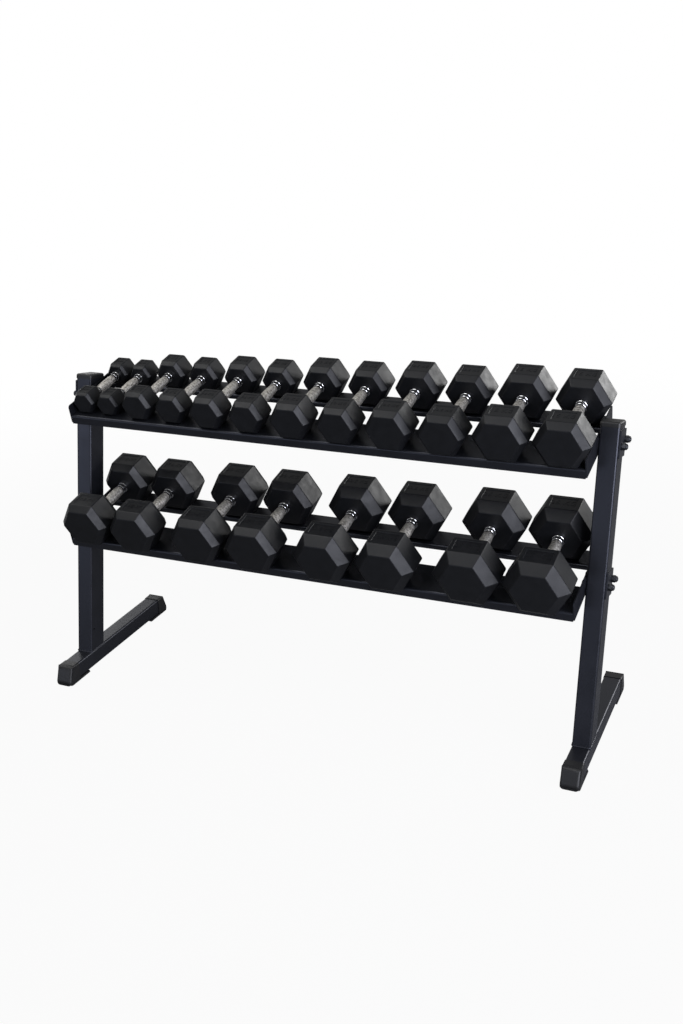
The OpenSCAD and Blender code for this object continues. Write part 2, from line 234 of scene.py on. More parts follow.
# %% Black rubber
def head_rubber():
    mat, t = new_material("moulded_rubber_black")
    place = add(t, "ShaderNodeTexCoord").outputs["Object"]
    # wax bloom: clouds about 25 mm across
    bloom = add(t, "ShaderNodeTexNoise", {"Vector": place, "Scale": 40.0, "Detail": 6.0,
                                          "Roughness": 0.6})
    # mould skin: flow texture of about 1 mm, drawn at 2 mm so that it shows
    skin_tex = add(t, "ShaderNodeTexNoise", {"Vector": place, "Scale": 480.0, "Detail": 2.0})
    base = add(t, "ShaderNodeMix", {"Factor": bloom.outputs["Fac"], "A": colour("#0a0b0d"),
                                    "B": colour("#141518")}, data_type="RGBA")
    rough = add(t, "ShaderNodeMapRange", {"Value": bloom.outputs["Fac"], "From Min": 0.3,
                                          "From Max": 0.7, "To Min": 0.36, "To Max": 0.48})
    bump = add(t, "ShaderNodeBump", {"Height": skin_tex.outputs["Fac"], "Strength": 0.12,
                                     "Distance": 0.0004})
    skin = add(t, "ShaderNodeBsdfPrincipled", {
        "Base Color": base.outputs["Result"], "Roughness": rough.outputs["Result"],
        "Normal": bump.outputs["Normal"], "IOR": 1.5, "Specular IOR Level": 0.28})
    add(t, "ShaderNodeOutputMaterial", {"Surface": skin.outputs["BSDF"]})
    return mat


rubber = head_rubber()
print("made", rubber.name)

# %% [markdown]
# ## Chromed steel, plain and knurled
# Each handle is a turned steel bar with hard chrome on it. The collars are polished. The grip
# is knurled: two crossed sets of grooves leave small diamonds, which scatter the light, so the
# grip looks paler and softer than the collars. The diamonds follow the bar's own map, where
# one axis runs round the bar and the other along it, from -1 to 1 over the grip. A second map
# holds the turned radius, so that the painted shade in the grooves follows the shape.

# %% Chrome with a knurled grip
def handle_chrome():
    mat, t = new_material("hard_chrome_knurled")
    uv = add(t, "ShaderNodeUVMap", uv_map="bar")
    axes = add(t, "ShaderNodeSeparateXYZ", {"Vector": uv.outputs["UV"]})
    # real diamonds are about 1.2 mm wide; these are about 2 mm, the finest that shows
    turns, rows = 38.0, 22.0
    around = add(t, "ShaderNodeMath", {0: axes.outputs["X"], 1: turns}, operation="MULTIPLY")
    along = add(t, "ShaderNodeMath", {0: axes.outputs["Y"], 1: rows}, operation="MULTIPLY")
    left = add(t, "ShaderNodeMath", {0: around.outputs[0], 1: along.outputs[0]}, operation="ADD")
    right = add(t, "ShaderNodeMath", {0: around.outputs[0], 1: along.outputs[0]},
                operation="SUBTRACT")
    ridge_l = add(t, "ShaderNodeMath", {0: left.outputs[0], 1: 0.5}, operation="PINGPONG")
    ridge_r = add(t, "ShaderNodeMath", {0: right.outputs[0], 1: 0.5}, operation="PINGPONG")
    diamond = add(t, "ShaderNodeMath", {0: ridge_l.outputs[0], 1: ridge_r.outputs[0]},
                  operation="MINIMUM")
    reach = add(t, "ShaderNodeMath", {0: axes.outputs["Y"]}, operation="ABSOLUTE")
    grip = add(t, "ShaderNodeMath", {0: reach.outputs[0], 1: 0.985}, operation="LESS_THAN")
    # painted shade in the turned grooves, which lie below 0.85 of the bar's radius: they go near
    # black
    lathe = add(t, "ShaderNodeUVMap", uv_map="lathe")
    cut = add(t, "ShaderNodeSeparateXYZ", {"Vector": lathe.outputs["UV"]})
    painted_groove_shade = add(t, "ShaderNodeMapRange", {"Value": cut.outputs["X"], "From Min": 0.78,
                                          "From Max": 0.88, "To Min": 1.0, "To Max": 0.0})
    height = add(t, "ShaderNodeMath", {0: diamond.outputs[0], 1: grip.outputs[0]},
                 operation="MULTIPLY")
    place = add(t, "ShaderNodeTexCoord").outputs["Object"]
    # oil and chalk held by the diamonds: blots from 2 to 8 mm across
    stain = add(t, "ShaderNodeTexNoise", {"Vector": place, "Scale": 160.0, "Detail": 4.0,
                                          "Roughness": 0.65})
    blots = add(t, "ShaderNodeMapRange", {"Value": stain.outputs["Fac"], "From Min": 0.36,
                                          "From Max": 0.6})
    worn = add(t, "ShaderNodeMix", {"Factor": blots.outputs["Result"], "A": colour("#918c85"),
                                    "B": colour("#e2dfd8")}, data_type="RGBA")
    unshaded = add(t, "ShaderNodeMix", {"Factor": grip.outputs[0], "A": colour("#e0e1e3"),
                                     "B": worn.outputs["Result"]}, data_type="RGBA")
    # painted shade: the turned grooves go near black and lose their metal
    base = add(t, "ShaderNodeMix", {"Factor": painted_groove_shade.outputs["Result"],
                                    "A": unshaded.outputs["Result"], "B": colour("#141312")},
               data_type="RGBA")
    metal = add(t, "ShaderNodeMath", {0: 1.0, 1: painted_groove_shade.outputs["Result"]}, operation="SUBTRACT")
    rough = add(t, "ShaderNodeMapRange", {"Value": grip.outputs[0], "To Min": 0.12,
                                          "To Max": 0.5})
    bump = add(t, "ShaderNodeBump", {"Height": height.outputs[0], "Strength": 0.8,
                                     "Distance": 0.0010})
    skin = add(t, "ShaderNodeBsdfPrincipled", {
        "Base Color": base.outputs["Result"], "Metallic": metal.outputs[0],
        "Roughness": rough.outputs["Result"], "Normal": bump.outputs["Normal"]})
    add(t, "ShaderNodeOutputMaterial", {"Surface": skin.outputs["BSDF"]})
    return mat


chrome = handle_chrome()
print("made", chrome.name)

# %% [markdown]
# ## Dark zinc
# The bolts, washers and nuts are steel with black zinc plating. It is a thin metal coat, so it
# reflects as metal does, but darkly, with a slight mottle from the plating bath.

# %% Black zinc plating
def dark_zinc():
    mat, t = new_material("zinc_plated_dark")
    place = add(t, "ShaderNodeTexCoord").outputs["Object"]
    # plating mottle, about 4 mm across
    mottle = add(t, "ShaderNodeTexNoise", {"Vector": place, "Scale": 250.0, "Detail": 4.0})
    base = add(t, "ShaderNodeMix", {"Factor": mottle.outputs["Fac"], "A": colour("#3a3b3f"),
                                    "B": colour("#5a5c60")}, data_type="RGBA")
    rough = add(t, "ShaderNodeMapRange", {"Value": mottle.outputs["Fac"], "To Min": 0.28,
                                          "To Max": 0.5})
    skin = add(t, "ShaderNodeBsdfPrincipled", {
        "Base Color": base.outputs["Result"], "Metallic": 1.0,
        "Roughness": rough.outputs["Result"]})
    add(t, "ShaderNodeOutputMaterial", {"Surface": skin.outputs["BSDF"]})
    return mat


zinc = dark_zinc()
FINISH = {"black_paint": paint, "black_plastic": plastic, "dark_zinc": zinc,
          "black_rubber": rubber, "chrome": chrome}
for part in frame["record"]["subparts"]:
    give(nodes[part["node"]], FINISH[part["material_slot"]])
print("finishes on", len(nodes), "solids")

# %% [markdown]
# ## Where a dumbbell lies
# Every dumbbell lies square across its tray, so its own axis rises to the back at the tray's
# slope. The solids give the rest: the middle of a pair of heads is the middle of its box, the
# box's width is the hexagon's width over the corners, and the bar's box gives its length.

# %% Places and sizes of the dumbbells
SLOPE = math.radians(11)
HEX = math.cos(math.radians(30))  # a hexagon's width over its flats / over its corners
END_COVER = 15 * MM  # rubber in front of the bar's end
SPIGOT = 20 * MM  # the bar inside the heads
COLLAR_RISE = 0.6 * MM  # the collars over the grip
UPPER, LOWER = 12, 8  # dumbbells on each tier
# weight of each pair, and in mm: the clear grip between its heads, the width of its end faces
# over the flats and the depth of its bevels
PAIRS = [("2.5", 122.5, 52.6, 10.6), ("5", 128, 67, 13.6), ("7.5", 129, 72.8, 15.6),
         ("10", 129, 82.8, 17.6), ("12.5", 129, 91, 19.6), ("15", 129, 98.4, 20),
         ("17.5", 131, 102.4, 20.6), ("20", 131, 109.6, 21), ("22.5", 131, 102.4, 26.4),
         ("25", 131, 105.8, 26.6)]


def dumbbell(tier, number):
    lo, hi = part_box(f"{tier}_heads_{number}")
    bar_lo, bar_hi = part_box(f"{tier}_handle_{number}")
    pair = (number - 1) // 2 + (UPPER // 2 if tier == "lower" else 0)
    bar_long = ((bar_hi - bar_lo).y - SPIGOT * math.sin(SLOPE)) / math.cos(SLOPE)
    return {"body": f"{tier}_dumbbell_{number}", "heads": f"{tier}_heads_{number}",
            "handle": f"{tier}_handle_{number}", "pair": pair,
            "flats": (hi - lo).x * HEX, "length": bar_long + 2 * END_COVER,
            "grip": PAIRS[pair][1] * MM, "grip_d": (bar_hi - bar_lo).x - 2 * COLLAR_RISE,
            "face": PAIRS[pair][2] * MM, "bevel": PAIRS[pair][3] * MM,
            "place": Matrix.Translation((lo + hi) / 2) @ Matrix.Rotation(SLOPE, 4, "X")}


dumbbells = [dumbbell("upper", i) for i in range(1, UPPER + 1)]
dumbbells += [dumbbell("lower", i) for i in range(1, LOWER + 1)]
for d in dumbbells[::2]:
    print(PAIRS[d["pair"]][0], "kg:", round(d["flats"] * 1000, 1), "mm over the flats,",
          round(d["length"] * 1000), "mm long, grip", round(d["grip_d"] * 1000, 1))

# %% [markdown]
# ## One rubber head
# A head is a hexagonal block with a bevel round each end. By hand it starts as a six-sided
# cylinder. Each end face is extruded outwards and scaled down, which makes the bevels. Then
# all its edges are rounded a little, because a rubber mould has no sharp edge, and the flat
# that lies on top is inset and sunk to make the panel for the weight.

# %% Model a head
EDGE_ROUND = 2 * MM
MARGIN_SHARE, MARGIN = 0.05, 0.5 * MM  # flat left round the panel: a share and a fixed part
PANEL_WALL, PANEL_DEEP = 0.9 * MM, 1.4 * MM
FLAT_AREA = 100 * MM * MM  # more than any facet of a rounded edge, less than the flat on top
# the raised numbers: half their thickness, their middle below the flat, the room left beside
# and beyond them, and the share of that room that they fill
NUMBER_THICK, NUMBER_DOWN = 0.4 * MM, 1.1 * MM
NUMBER_BESIDE, NUMBER_BEYOND, NUMBER_FILL = 6 * MM, 5 * MM, 0.8


def head_block(name, flats, length, face, bevel):
    """A head with its axis along +Y, its inner face at y 0 and the panel on top."""
    deselect()
    bpy.ops.mesh.primitive_cylinder_add(
        vertices=6, radius=flats / 2 / HEX, depth=length - 2 * bevel,
        location=(0, length / 2, 0), rotation=(math.pi / 2, math.pi / 6, 0))
    head = bpy.context.object
    head.name = head.data.name = name
    settle(head)
    for way in (-1, 1):
        edit_select(head, lambda f: f.normal.y * way > 0.9)
        bpy.ops.mesh.extrude_region_move(TRANSFORM_OT_translate={"value": (0, way * bevel, 0)})
        bpy.ops.transform.resize(value=(face / flats, 1, face / flats),
                                 center_override=(0, 0, 0))
        leave_edit()
    edit_select(head, lambda e: True, "edges")
    bpy.ops.mesh.bevel(offset=EDGE_ROUND, segments=3, affect="EDGES")
    leave_edit()
    edit_select(head, lambda f: f.normal.z > 0.99 and f.calc_area() > FLAT_AREA)
    bpy.ops.mesh.inset(thickness=MARGIN_SHARE * flats + MARGIN)
    bpy.ops.mesh.inset(thickness=PANEL_WALL, depth=-PANEL_DEEP)
    leave_edit()
    return head


def weight_number(text, width, depth, at):
    """A raised number lying on the panel, read from the front of the rack."""
    deselect()
    bpy.ops.object.text_add(location=(0, 0, 0))
    obj = bpy.context.object
    obj.data.body = text
    obj.data.align_x, obj.data.align_y = "CENTER", "CENTER"
    obj.data.extrude = NUMBER_THICK
    obj.data.size = depth
    bpy.context.view_layer.update()
    obj.data.size = depth * min(1.0, width / obj.dimensions.x)
    bpy.ops.object.convert(target="MESH")
    return settle(bpy.context.object, Matrix.Translation(at))


def head_pair(d):
    label = PAIRS[d["pair"]][0] + " KG"
    flats, long = d["flats"], (d["length"] - d["grip"]) / 2
    rear = head_block(f"{d['heads']}_rubber", flats, long, d["face"], d["bevel"])
    front = copy_of(rear, "front_head", Matrix.Translation((0, -d["grip"] / 2, 0))
                    @ Matrix.Rotation(math.pi, 4, "Z"))
    rear.data.transform(Matrix.Translation((0, d["grip"] / 2, 0)))
    margins = 2 * MARGIN_SHARE * flats
    wide = flats / math.sqrt(3) - margins - NUMBER_BESIDE
    deep = long - 2 * d["bevel"] - margins - NUMBER_BEYOND
    pieces = [rear, front]
    for y in (-1, 1):
        at = (0, y * (d["grip"] + long) / 2, flats / 2 - NUMBER_DOWN)
        pieces.append(weight_number(label, wide, NUMBER_FILL * deep, at))
    whole = join(f"{d['heads']}_rubber", pieces)
    smooth(whole, 30)
    return whole


print("a 25 kg head is", round(dumbbells[-1]["flats"] * 1000), "mm over its flats")

# %% [markdown]
# Each size is modelled once. The second dumbbell of a pair is a copy with its own mesh, moved
# to its place on the tray. Each pair of heads rides on its dumbbell and stands for the plain
# solids, which stay behind for the physics.

# %% Place the heads
def model_or_copy(d, model, name, made):
    """A new model for the first dumbbell of a pair, and a copy of it for the second."""
    if d["pair"] in made:
        source, place = made[d["pair"]]
        return copy_of(source, name, d["place"] @ place.inverted())
    piece = model(d)
    piece.data.transform(d["place"])
    made[d["pair"]] = (piece, d["place"])
    return piece


made = {}
for d in dumbbells:
    heads = model_or_copy(d, head_pair, f"{d['heads']}_rubber", made)
    give(heads, rubber)
    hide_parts(d["heads"])
    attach(heads, d["body"])
print("heads on", len(dumbbells), "dumbbells,", len(heads.data.polygons), "faces the last")

# %% [markdown]
# ## The turned handle
# A handle is a lathe job: a bar with a polished collar at each head, a narrow ring between two
# grooves, and a grip that swells slightly to fill the hand. It starts as a short cylinder in
# the middle. Its end faces are extruded step by step along the bar, and each step is scaled
# to the next radius, which is what a lathe tool does. The map round and along the bar, which
# the knurl needs, is written at the end.

# %% Model a handle
SIDES = 40
COLLAR, RING, GROOVE = 7 * MM, 6 * MM, 5 * MM
RING_FALL, SWELL = 1.2 * MM, 2 * MM
CHAMFER, GRIP_CHAMFER = 0.7 * MM, 0.6 * MM
BLANK = 0.1  # the first cylinder's share of the grip
SWELL_STEPS = (0.2, 0.4, 0.6, 0.8, 0.97)  # where the swell is turned, as shares of the grip


def handle_steps(d):
    """(place along the bar, radius) from the middle of the grip to the end of the bar."""
    half, mid, root = d["grip"] / 2, d["grip_d"] / 2, SPIGOT / 2
    ring_at = half - COLLAR - GROOVE - RING
    grip_end = ring_at - GROOVE
    steps = [(grip_end * s, mid - SWELL * s * s) for s in SWELL_STEPS]
    steps += [(grip_end, mid - SWELL - GRIP_CHAMFER), (grip_end, root), (ring_at, root)]
    c = CHAMFER
    for start, width, radius in ((ring_at, RING, mid - RING_FALL),
                                 (half - COLLAR, COLLAR, mid + COLLAR_RISE)):
        steps += [(start, root), (start, radius - c), (start + c, radius),
                  (start + width - c, radius), (start + width, radius - c),
                  (start + width, root)]
    steps.append((d["length"] / 2 - END_COVER, root))
    return grip_end, [s for i, s in enumerate(steps) if i == 0 or s != steps[i - 1]]


def turned_handle(d):
    grip_end, steps = handle_steps(d)
    start = BLANK * grip_end
    deselect()
    bpy.ops.mesh.primitive_cylinder_add(vertices=SIDES, radius=d["grip_d"] / 2, depth=2 * start,
                                        rotation=(math.pi / 2, 0, 0))
    bar = bpy.context.object
    bar.name = bar.data.name = f"{d['handle']}_bar"
    settle(bar)
    for way in (-1, 1):
        # only the end face: the groove walls on the other side look the same way
        edit_select(bar, lambda f: f.normal.y * way > 0.9
                    and f.calc_center_median().y * way > 0.9 * start)
        at, radius = start, d["grip_d"] / 2
        for y, r in steps:
            bpy.ops.mesh.extrude_region_move(
                TRANSFORM_OT_translate={"value": (0, way * (y - at), 0)})
            bpy.ops.transform.resize(value=(r / radius, 1, r / radius),
                                     center_override=(0, way * y, 0))
            at, radius = y, r
        leave_edit()
    for name in ("bar", "lathe"):
        bar.data.uv_layers.new(name=name)
    bar_map, lathe_map = bar.data.uv_layers["bar"], bar.data.uv_layers["lathe"]
    for face in bar.data.polygons:
        turn = math.atan2(face.center.z, face.center.x)
        for loop in face.loop_indices:
            v = bar.data.vertices[bar.data.loops[loop].vertex_index].co
            gap = (math.atan2(v.z, v.x) - turn + math.pi) % (2 * math.pi) - math.pi
            bar_map.data[loop].uv = ((turn + gap) / (2 * math.pi), v.y / grip_end)
            lathe_map.data[loop].uv = (math.hypot(v.x, v.z) / (d["grip_d"] / 2), 0.5)
    smooth(bar, 40)
    return bar


print("a 25 kg bar has", len(handle_steps(dumbbells[-1])[1]), "steps from middle to end")

# %% [markdown]
# Ten sizes serve twenty bars: the second bar of a pair is a copy, as with the heads. Each bar
# stands for its plain solid and moves with its dumbbell.

# %% Place the handles
made = {}
for d in dumbbells:
    bar = model_or_copy(d, turned_handle, f"{d['handle']}_bar", made)
    give(bar, chrome)
    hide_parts(d["handle"])
    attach(bar, d["body"])
print("handles turned:", len(made), "sizes,", len(bar.data.polygons), "faces the last")

# %% [markdown]
# ## Caps on the tube ends
# Each foot ends in a moulded cap. By hand it is one block: the nose leans back from a tip that
# lies 9 mm above the floor and is undercut below it, and every corner of the nose is rounded.
# The back is hollowed into a sleeve for the tube, and the floor pad is drawn out of its rim.

# %% Model a foot cap
CAP_WIDE, CAP_TOP, SLEEVE, NOSE = 53 * MM, 57.5 * MM, 55 * MM, 24 * MM
TIP, LEAN_BACK, UNDERCUT = 9 * MM, 18 * MM, 4 * MM
PAD, PAD_LONG, SKIN = 6 * MM, 105 * MM, 1.2 * MM
NOSE_ROUND, TIP_ROUND, TOP_ROUND = 10 * MM, 3 * MM, 6.5 * MM
TINY = 0.01 * MM  # what counts as the same place


def round_edges(obj, test, size, segments):
    edit_select(obj, lambda e: all(test(v.co) for v in e.verts), "edges")
    bpy.ops.mesh.bevel(offset=size, segments=segments, affect="EDGES")
    leave_edit()


def push(obj, test, move):
    edit_select(obj, lambda v: test(v.co), "verts")
    bpy.ops.transform.translate(value=move)
    leave_edit()


def foot_cap():
    """A cap with its tip at the origin, its sleeve along +Y and its sole on z 0."""
    deselect()
    bpy.ops.mesh.primitive_cube_add(size=1, location=(0, SLEEVE / 2, CAP_TOP / 2),
                                    scale=(CAP_WIDE, SLEEVE, CAP_TOP))
    cap = settle(bpy.context.object)
    edit_select(cap, lambda f: True)
    bpy.ops.mesh.bisect(plane_co=(0, 0, TIP), plane_no=(0, 0, 1))
    leave_edit()
    push(cap, lambda c: c.y < TINY and c.z > 0.9 * CAP_TOP, (0, LEAN_BACK, 0))
    push(cap, lambda c: c.y < TINY and c.z < TINY, (0, UNDERCUT, 0))
    round_edges(cap, lambda c: abs(c.x) > 0.49 * CAP_WIDE and c.y < LEAN_BACK + TINY,
                NOSE_ROUND, 6)
    past_nose = LEAN_BACK + 1.2 * NOSE_ROUND
    round_edges(cap, lambda c: abs(c.z - TIP) < TINY and c.y < past_nose, TIP_ROUND, 3)
    edit_select(cap, lambda e: all(v.co.z > CAP_TOP - TINY for v in e.verts)
                and min(v.co.y for v in e.verts) < SLEEVE - TINY, "edges")
    bpy.ops.mesh.bevel(offset=TOP_ROUND, segments=6, affect="EDGES")
    leave_edit()
    edit_select(cap, lambda f: f.normal.y > 0.9)
    bpy.ops.mesh.inset(thickness=SKIN)
    leave_edit()
    push(cap, lambda c: c.y > SLEEVE - TINY and abs(c.x) < CAP_WIDE / 2 - TINY
         and TINY < c.z < PAD / 2, (0, 0, PAD - SKIN))
    edit_select(cap, lambda f: f.normal.y > 0.9 and f.calc_area() > 0.5 * CAP_WIDE * CAP_TOP)
    bpy.ops.mesh.extrude_region_move(TRANSFORM_OT_translate={"value": (0, NOSE - SLEEVE, 0)})
    leave_edit()
    edit_select(cap, lambda f: f.normal.y > 0.9 and f.calc_center_median().z < PAD
                and abs(f.calc_center_median().x) < TINY)
    bpy.ops.mesh.extrude_region_move(TRANSFORM_OT_translate={
        "value": (0, PAD_LONG - SLEEVE, 0)})
    leave_edit()
    # the bevels bulge by a tenth of a millimetre: press that flat at the sole and the tip
    for v in cap.data.vertices:
        v.co.y, v.co.z = max(v.co.y, 0), max(v.co.z, 0)
    return cap


print("a cap covers", round(SLEEVE * 1000), "mm of its foot")

# %% [markdown]
# All four caps are the same moulding. Two copies are set on the front ends of the feet, and
# the same places, turned half round, give the rear ends.

# %% Place the foot caps
def place_caps(cap, node, spots):
    """Copies of one cap at each spot, joined into the piece that stands for a node."""
    whole = join(f"{node}_moulded", [copy_of(cap, "cap", spot) for spot in spots])
    smooth(whole, 40)
    give(whole, plastic)
    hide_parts(node)
    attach(whole, "rack")


lo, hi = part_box("front_foot_caps")
side_x = hi.x - CAP_WIDE / 2
cap = foot_cap()
front = [Matrix.Translation((x, lo.y, 0)) for x in (-side_x, side_x)]
place_caps(cap, "front_foot_caps", front)
place_caps(cap, "rear_foot_caps", [Matrix.Rotation(math.pi, 4, "Z") @ m for m in front])
bpy.data.objects.remove(cap)
print("foot caps at x", round(side_x, 4), "tip at y", round(lo.y, 4))

# %% [markdown]
# The caps on top of the uprights are lower: a block with round corners and a softly rounded
# top, hollowed from below so that it slips over the tube. They lean back with the uprights.

# %% Model an upright cap
UPRIGHT_LONG, UPRIGHT_DEEP = 850 * MM, 70 * MM
UPRIGHT_FRONT, FOOT_TOP = -161 * MM, 56 * MM  # where an upright's front face meets its foot
UPRIGHT = Matrix.Translation((0, UPRIGHT_FRONT, FOOT_TOP)) @ Matrix.Rotation(-SLOPE, 4, "X")
CAP_DEEP, CAP_TALL, SKIRT = 73 * MM, 14 * MM, 7 * MM
CORNER_ROUND, RIM_ROUND = 7.5 * MM, 6 * MM

deselect()
bpy.ops.mesh.primitive_cube_add(size=1, scale=(CAP_WIDE, CAP_DEEP, CAP_TALL))
cap = settle(bpy.context.object)
edit_select(cap, lambda e: abs(e.verts[0].co.z - e.verts[1].co.z) > MM, "edges")
bpy.ops.mesh.bevel(offset=CORNER_ROUND, segments=6, affect="EDGES")
leave_edit()
round_edges(cap, lambda c: c.z > CAP_TALL / 2 - TINY, RIM_ROUND, 5)
edit_select(cap, lambda f: f.normal.z < -0.9)
bpy.ops.mesh.inset(thickness=SKIN)
bpy.ops.mesh.extrude_region_move(TRANSFORM_OT_translate={"value": (0, 0, SKIRT)})
leave_edit()
place_caps(cap, "upright_caps", [
    UPRIGHT @ Matrix.Translation((x, UPRIGHT_DEEP / 2, UPRIGHT_LONG)) for x in (-side_x, side_x)])
bpy.data.objects.remove(cap)

# %% [markdown]
# ## Bolts and nuts
# Each tray end is held by two bolts with self-locking nuts outside. A head or nut is a
# six-sided block whose corners are cut off, as the chamfer of a real one does. The nut carries
# a round collar with a soft edge, which holds the nylon ring, and the bolt's tip shows in it.

# %% Model a bolt and a nut
WRENCH, THREAD, HEAD_TALL, NUT_TALL, COLLAR_TALL = 17 * MM, 10 * MM, 6.4 * MM, 8 * MM, 4 * MM
CORNER_CUT, HEX_ROUND = 1.8 * MM, 0.25 * MM
TIP_SOFT, COLLAR_SOFT = 1 * MM, 0.9 * MM
COLLAR_IN, COLLAR_WALL, THREAD_SUNK = 0.5 * MM, 1.2 * MM, 1 * MM
END_AREA = 20 * MM * MM  # more than any facet of a soft edge, less than the collar's end


def hexagon(tall, both_ends):
    """A chamfered hexagon from x 0 to x tall, cut at its corners at x 0 or at both ends."""
    deselect()
    bpy.ops.mesh.primitive_cylinder_add(
        vertices=6, radius=WRENCH / 2 / HEX, depth=tall, location=(tall / 2, 0, 0),
        rotation=(0, math.pi / 2, 0))
    block = settle(bpy.context.object)
    edit_select(block, lambda v: both_ends or v.co.x < TINY, "verts")
    bpy.ops.mesh.bevel(offset=CORNER_CUT, segments=1, affect="VERTICES")
    leave_edit()
    edit_select(block, lambda e: True, "edges")
    bpy.ops.mesh.bevel(offset=HEX_ROUND, segments=2, affect="EDGES")
    leave_edit()
    return block


def round_bar(radius, start, stop, soft):
    """A round bar along X whose far end has a soft edge."""
    deselect()
    bpy.ops.mesh.primitive_cylinder_add(
        vertices=32, radius=radius, depth=stop - start, location=((start + stop) / 2, 0, 0),
        rotation=(0, math.pi / 2, 0))
    rod = settle(bpy.context.object)
    round_edges(rod, lambda c: c.x > stop - TINY, soft, 3)
    return rod


head_at = min(abs(v.co.x) for v in nodes["bolts"].data.vertices)
tip_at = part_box("bolts")[1].x
nut_at = min(abs(v.co.x) for v in nodes["nuts"].data.vertices)
bolt = join("bolt", [hexagon(HEAD_TALL, False),
                     round_bar(THREAD / 2, HEAD_TALL / 2, tip_at - head_at, TIP_SOFT)])
collar = round_bar(WRENCH / 2 - COLLAR_IN, NUT_TALL / 2, NUT_TALL + COLLAR_TALL, COLLAR_SOFT)
edit_select(collar, lambda f: f.normal.x > 0.99 and f.calc_area() > END_AREA)
bpy.ops.mesh.inset(thickness=COLLAR_WALL)
bpy.ops.mesh.extrude_region_move(TRANSFORM_OT_translate={"value": (-THREAD_SUNK, 0, 0)})
leave_edit()
nut = join("nut", [hexagon(NUT_TALL, True), collar])
print("a bolt is", round((tip_at - head_at) * 1000, 1), "mm long with its head")

# %% [markdown]
# The plain solids give the places: their mesh is split into its loose pieces, and the middle
# of each piece is where a bolt or nut goes. Those on the left side are turned round.

# %% Place the bolts and nuts
def islands(node):
    """The middles of a solid's separate pieces."""
    twin = copy_of(nodes[node], "twin")
    settle(twin)
    deselect()
    twin.select_set(True)
    bpy.context.view_layer.objects.active = twin
    bpy.ops.object.mode_set(mode="EDIT")
    bpy.ops.mesh.select_all(action="SELECT")
    bpy.ops.mesh.remove_doubles(threshold=TINY)
    bpy.ops.mesh.separate(type="LOOSE")
    leave_edit()
    pieces = list(bpy.context.selected_objects)
    boxes = [[Vector(v.co) for v in p.data.vertices] for p in pieces]
    for p in pieces:
        bpy.data.objects.remove(p)
    return [Vector([(min(v[k] for v in box) + max(v[k] for v in box)) / 2 for k in range(3)])
            for box in boxes]


def fasten(model, node, start):
    """One copy at each place of a node's pieces, from the given distance outwards."""
    spots = []
    for c in islands(node):
        spot = Matrix.Translation((math.copysign(start, c.x), c.y, c.z))
        spots.append(spot if c.x > 0 else spot @ Matrix.Rotation(math.pi, 4, "Z"))
    whole = join(f"{node}_turned", [copy_of(model, "fastener", spot) for spot in spots])
    smooth(whole, 30)
    give(whole, zinc)
    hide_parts(node)
    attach(whole, "rack")
    bpy.data.objects.remove(model)
    return len(spots)


print("bolts:", fasten(bolt, "bolts", head_at), "nuts:", fasten(nut, "nuts", nut_at))

# %% [markdown]
# ## Weld beads
# The uprights are welded to the feet. A bead of molten steel freezes in small ripples, about
# 3 mm apart. Here it is a loop round the tube's foot, drawn as a curve whose thickness swells
# and shrinks from point to point, and turned into a mesh under the same paint.

# %% Weld the uprights to the feet
BEAD, RIPPLE = 2.4 * MM, 3 * MM
TUBE_WIDE, TUBE_CORNER = 50 * MM, 5 * MM
BEAD_IN, BEAD_UP = 1 * MM, 1 * MM  # the loop is narrower than the tube, and above the foot
SWELLS, WAVES, WAVE_STEP = 0.14, 0.08, 1.7  # how the bead's thickness changes along it


def weld_loop(name, wide, deep, place):
    deselect()
    bpy.ops.mesh.primitive_plane_add(size=1)
    loop = bpy.context.object
    loop.name = name
    settle(loop, Matrix.Diagonal((wide, deep, 1, 1)))
    edit_select(loop, lambda v: True, "verts")
    bpy.ops.mesh.bevel(offset=TUBE_CORNER, segments=4, affect="VERTICES")
    bpy.ops.mesh.delete(type="ONLY_FACE")
    leave_edit()
    for _ in range(4):
        edit_select(loop, lambda e: e.calc_length() > RIPPLE, "edges")
        bpy.ops.mesh.subdivide(number_cuts=1)
        leave_edit()
    bpy.ops.object.convert(target="CURVE")
    loop = bpy.context.object
    loop.data.bevel_depth, loop.data.bevel_resolution = BEAD, 3
    for spline in loop.data.splines:
        for i, point in enumerate(spline.points):
            point.radius = 1.0 + SWELLS * (i % 2) + WAVES * math.sin(WAVE_STEP * i)
    bpy.ops.object.convert(target="MESH")
    return settle(bpy.context.object, place)


deep = UPRIGHT_DEEP / math.cos(SLOPE)
tube_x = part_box("right_foot")[0].x + TUBE_WIDE / 2
welds = join("foot_welds", [
    weld_loop("weld", TUBE_WIDE - BEAD_IN, deep - BEAD_IN,
              Matrix.Translation((x, UPRIGHT_FRONT + deep / 2, FOOT_TOP + BEAD_UP)))
    for x in (-tube_x, tube_x)])
smooth(welds, 60)
give(welds, paint)
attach(welds, "rack")
print("weld beads:", len(welds.data.polygons), "faces")

# %% [markdown]
# ## Studio
# The rack stands in a plain white studio. The camera is in front of the rack's right half and
# above it, and looks down a little. Its place is worked out from two angles and a distance,
# which are easier to set than coordinates, and it is rolled by about two degrees.

# %% Camera
AZIMUTH, ELEVATION, ROLL = math.radians(24.46), math.radians(22.86), math.radians(-2.23)
TARGET = Vector((0.1003, -0.161, 0.571))
DISTANCE = 3.257
LENS, SENSOR = 43.03, 36.0
SHIFT_X, SHIFT_Y = 0.0039, 0.0213

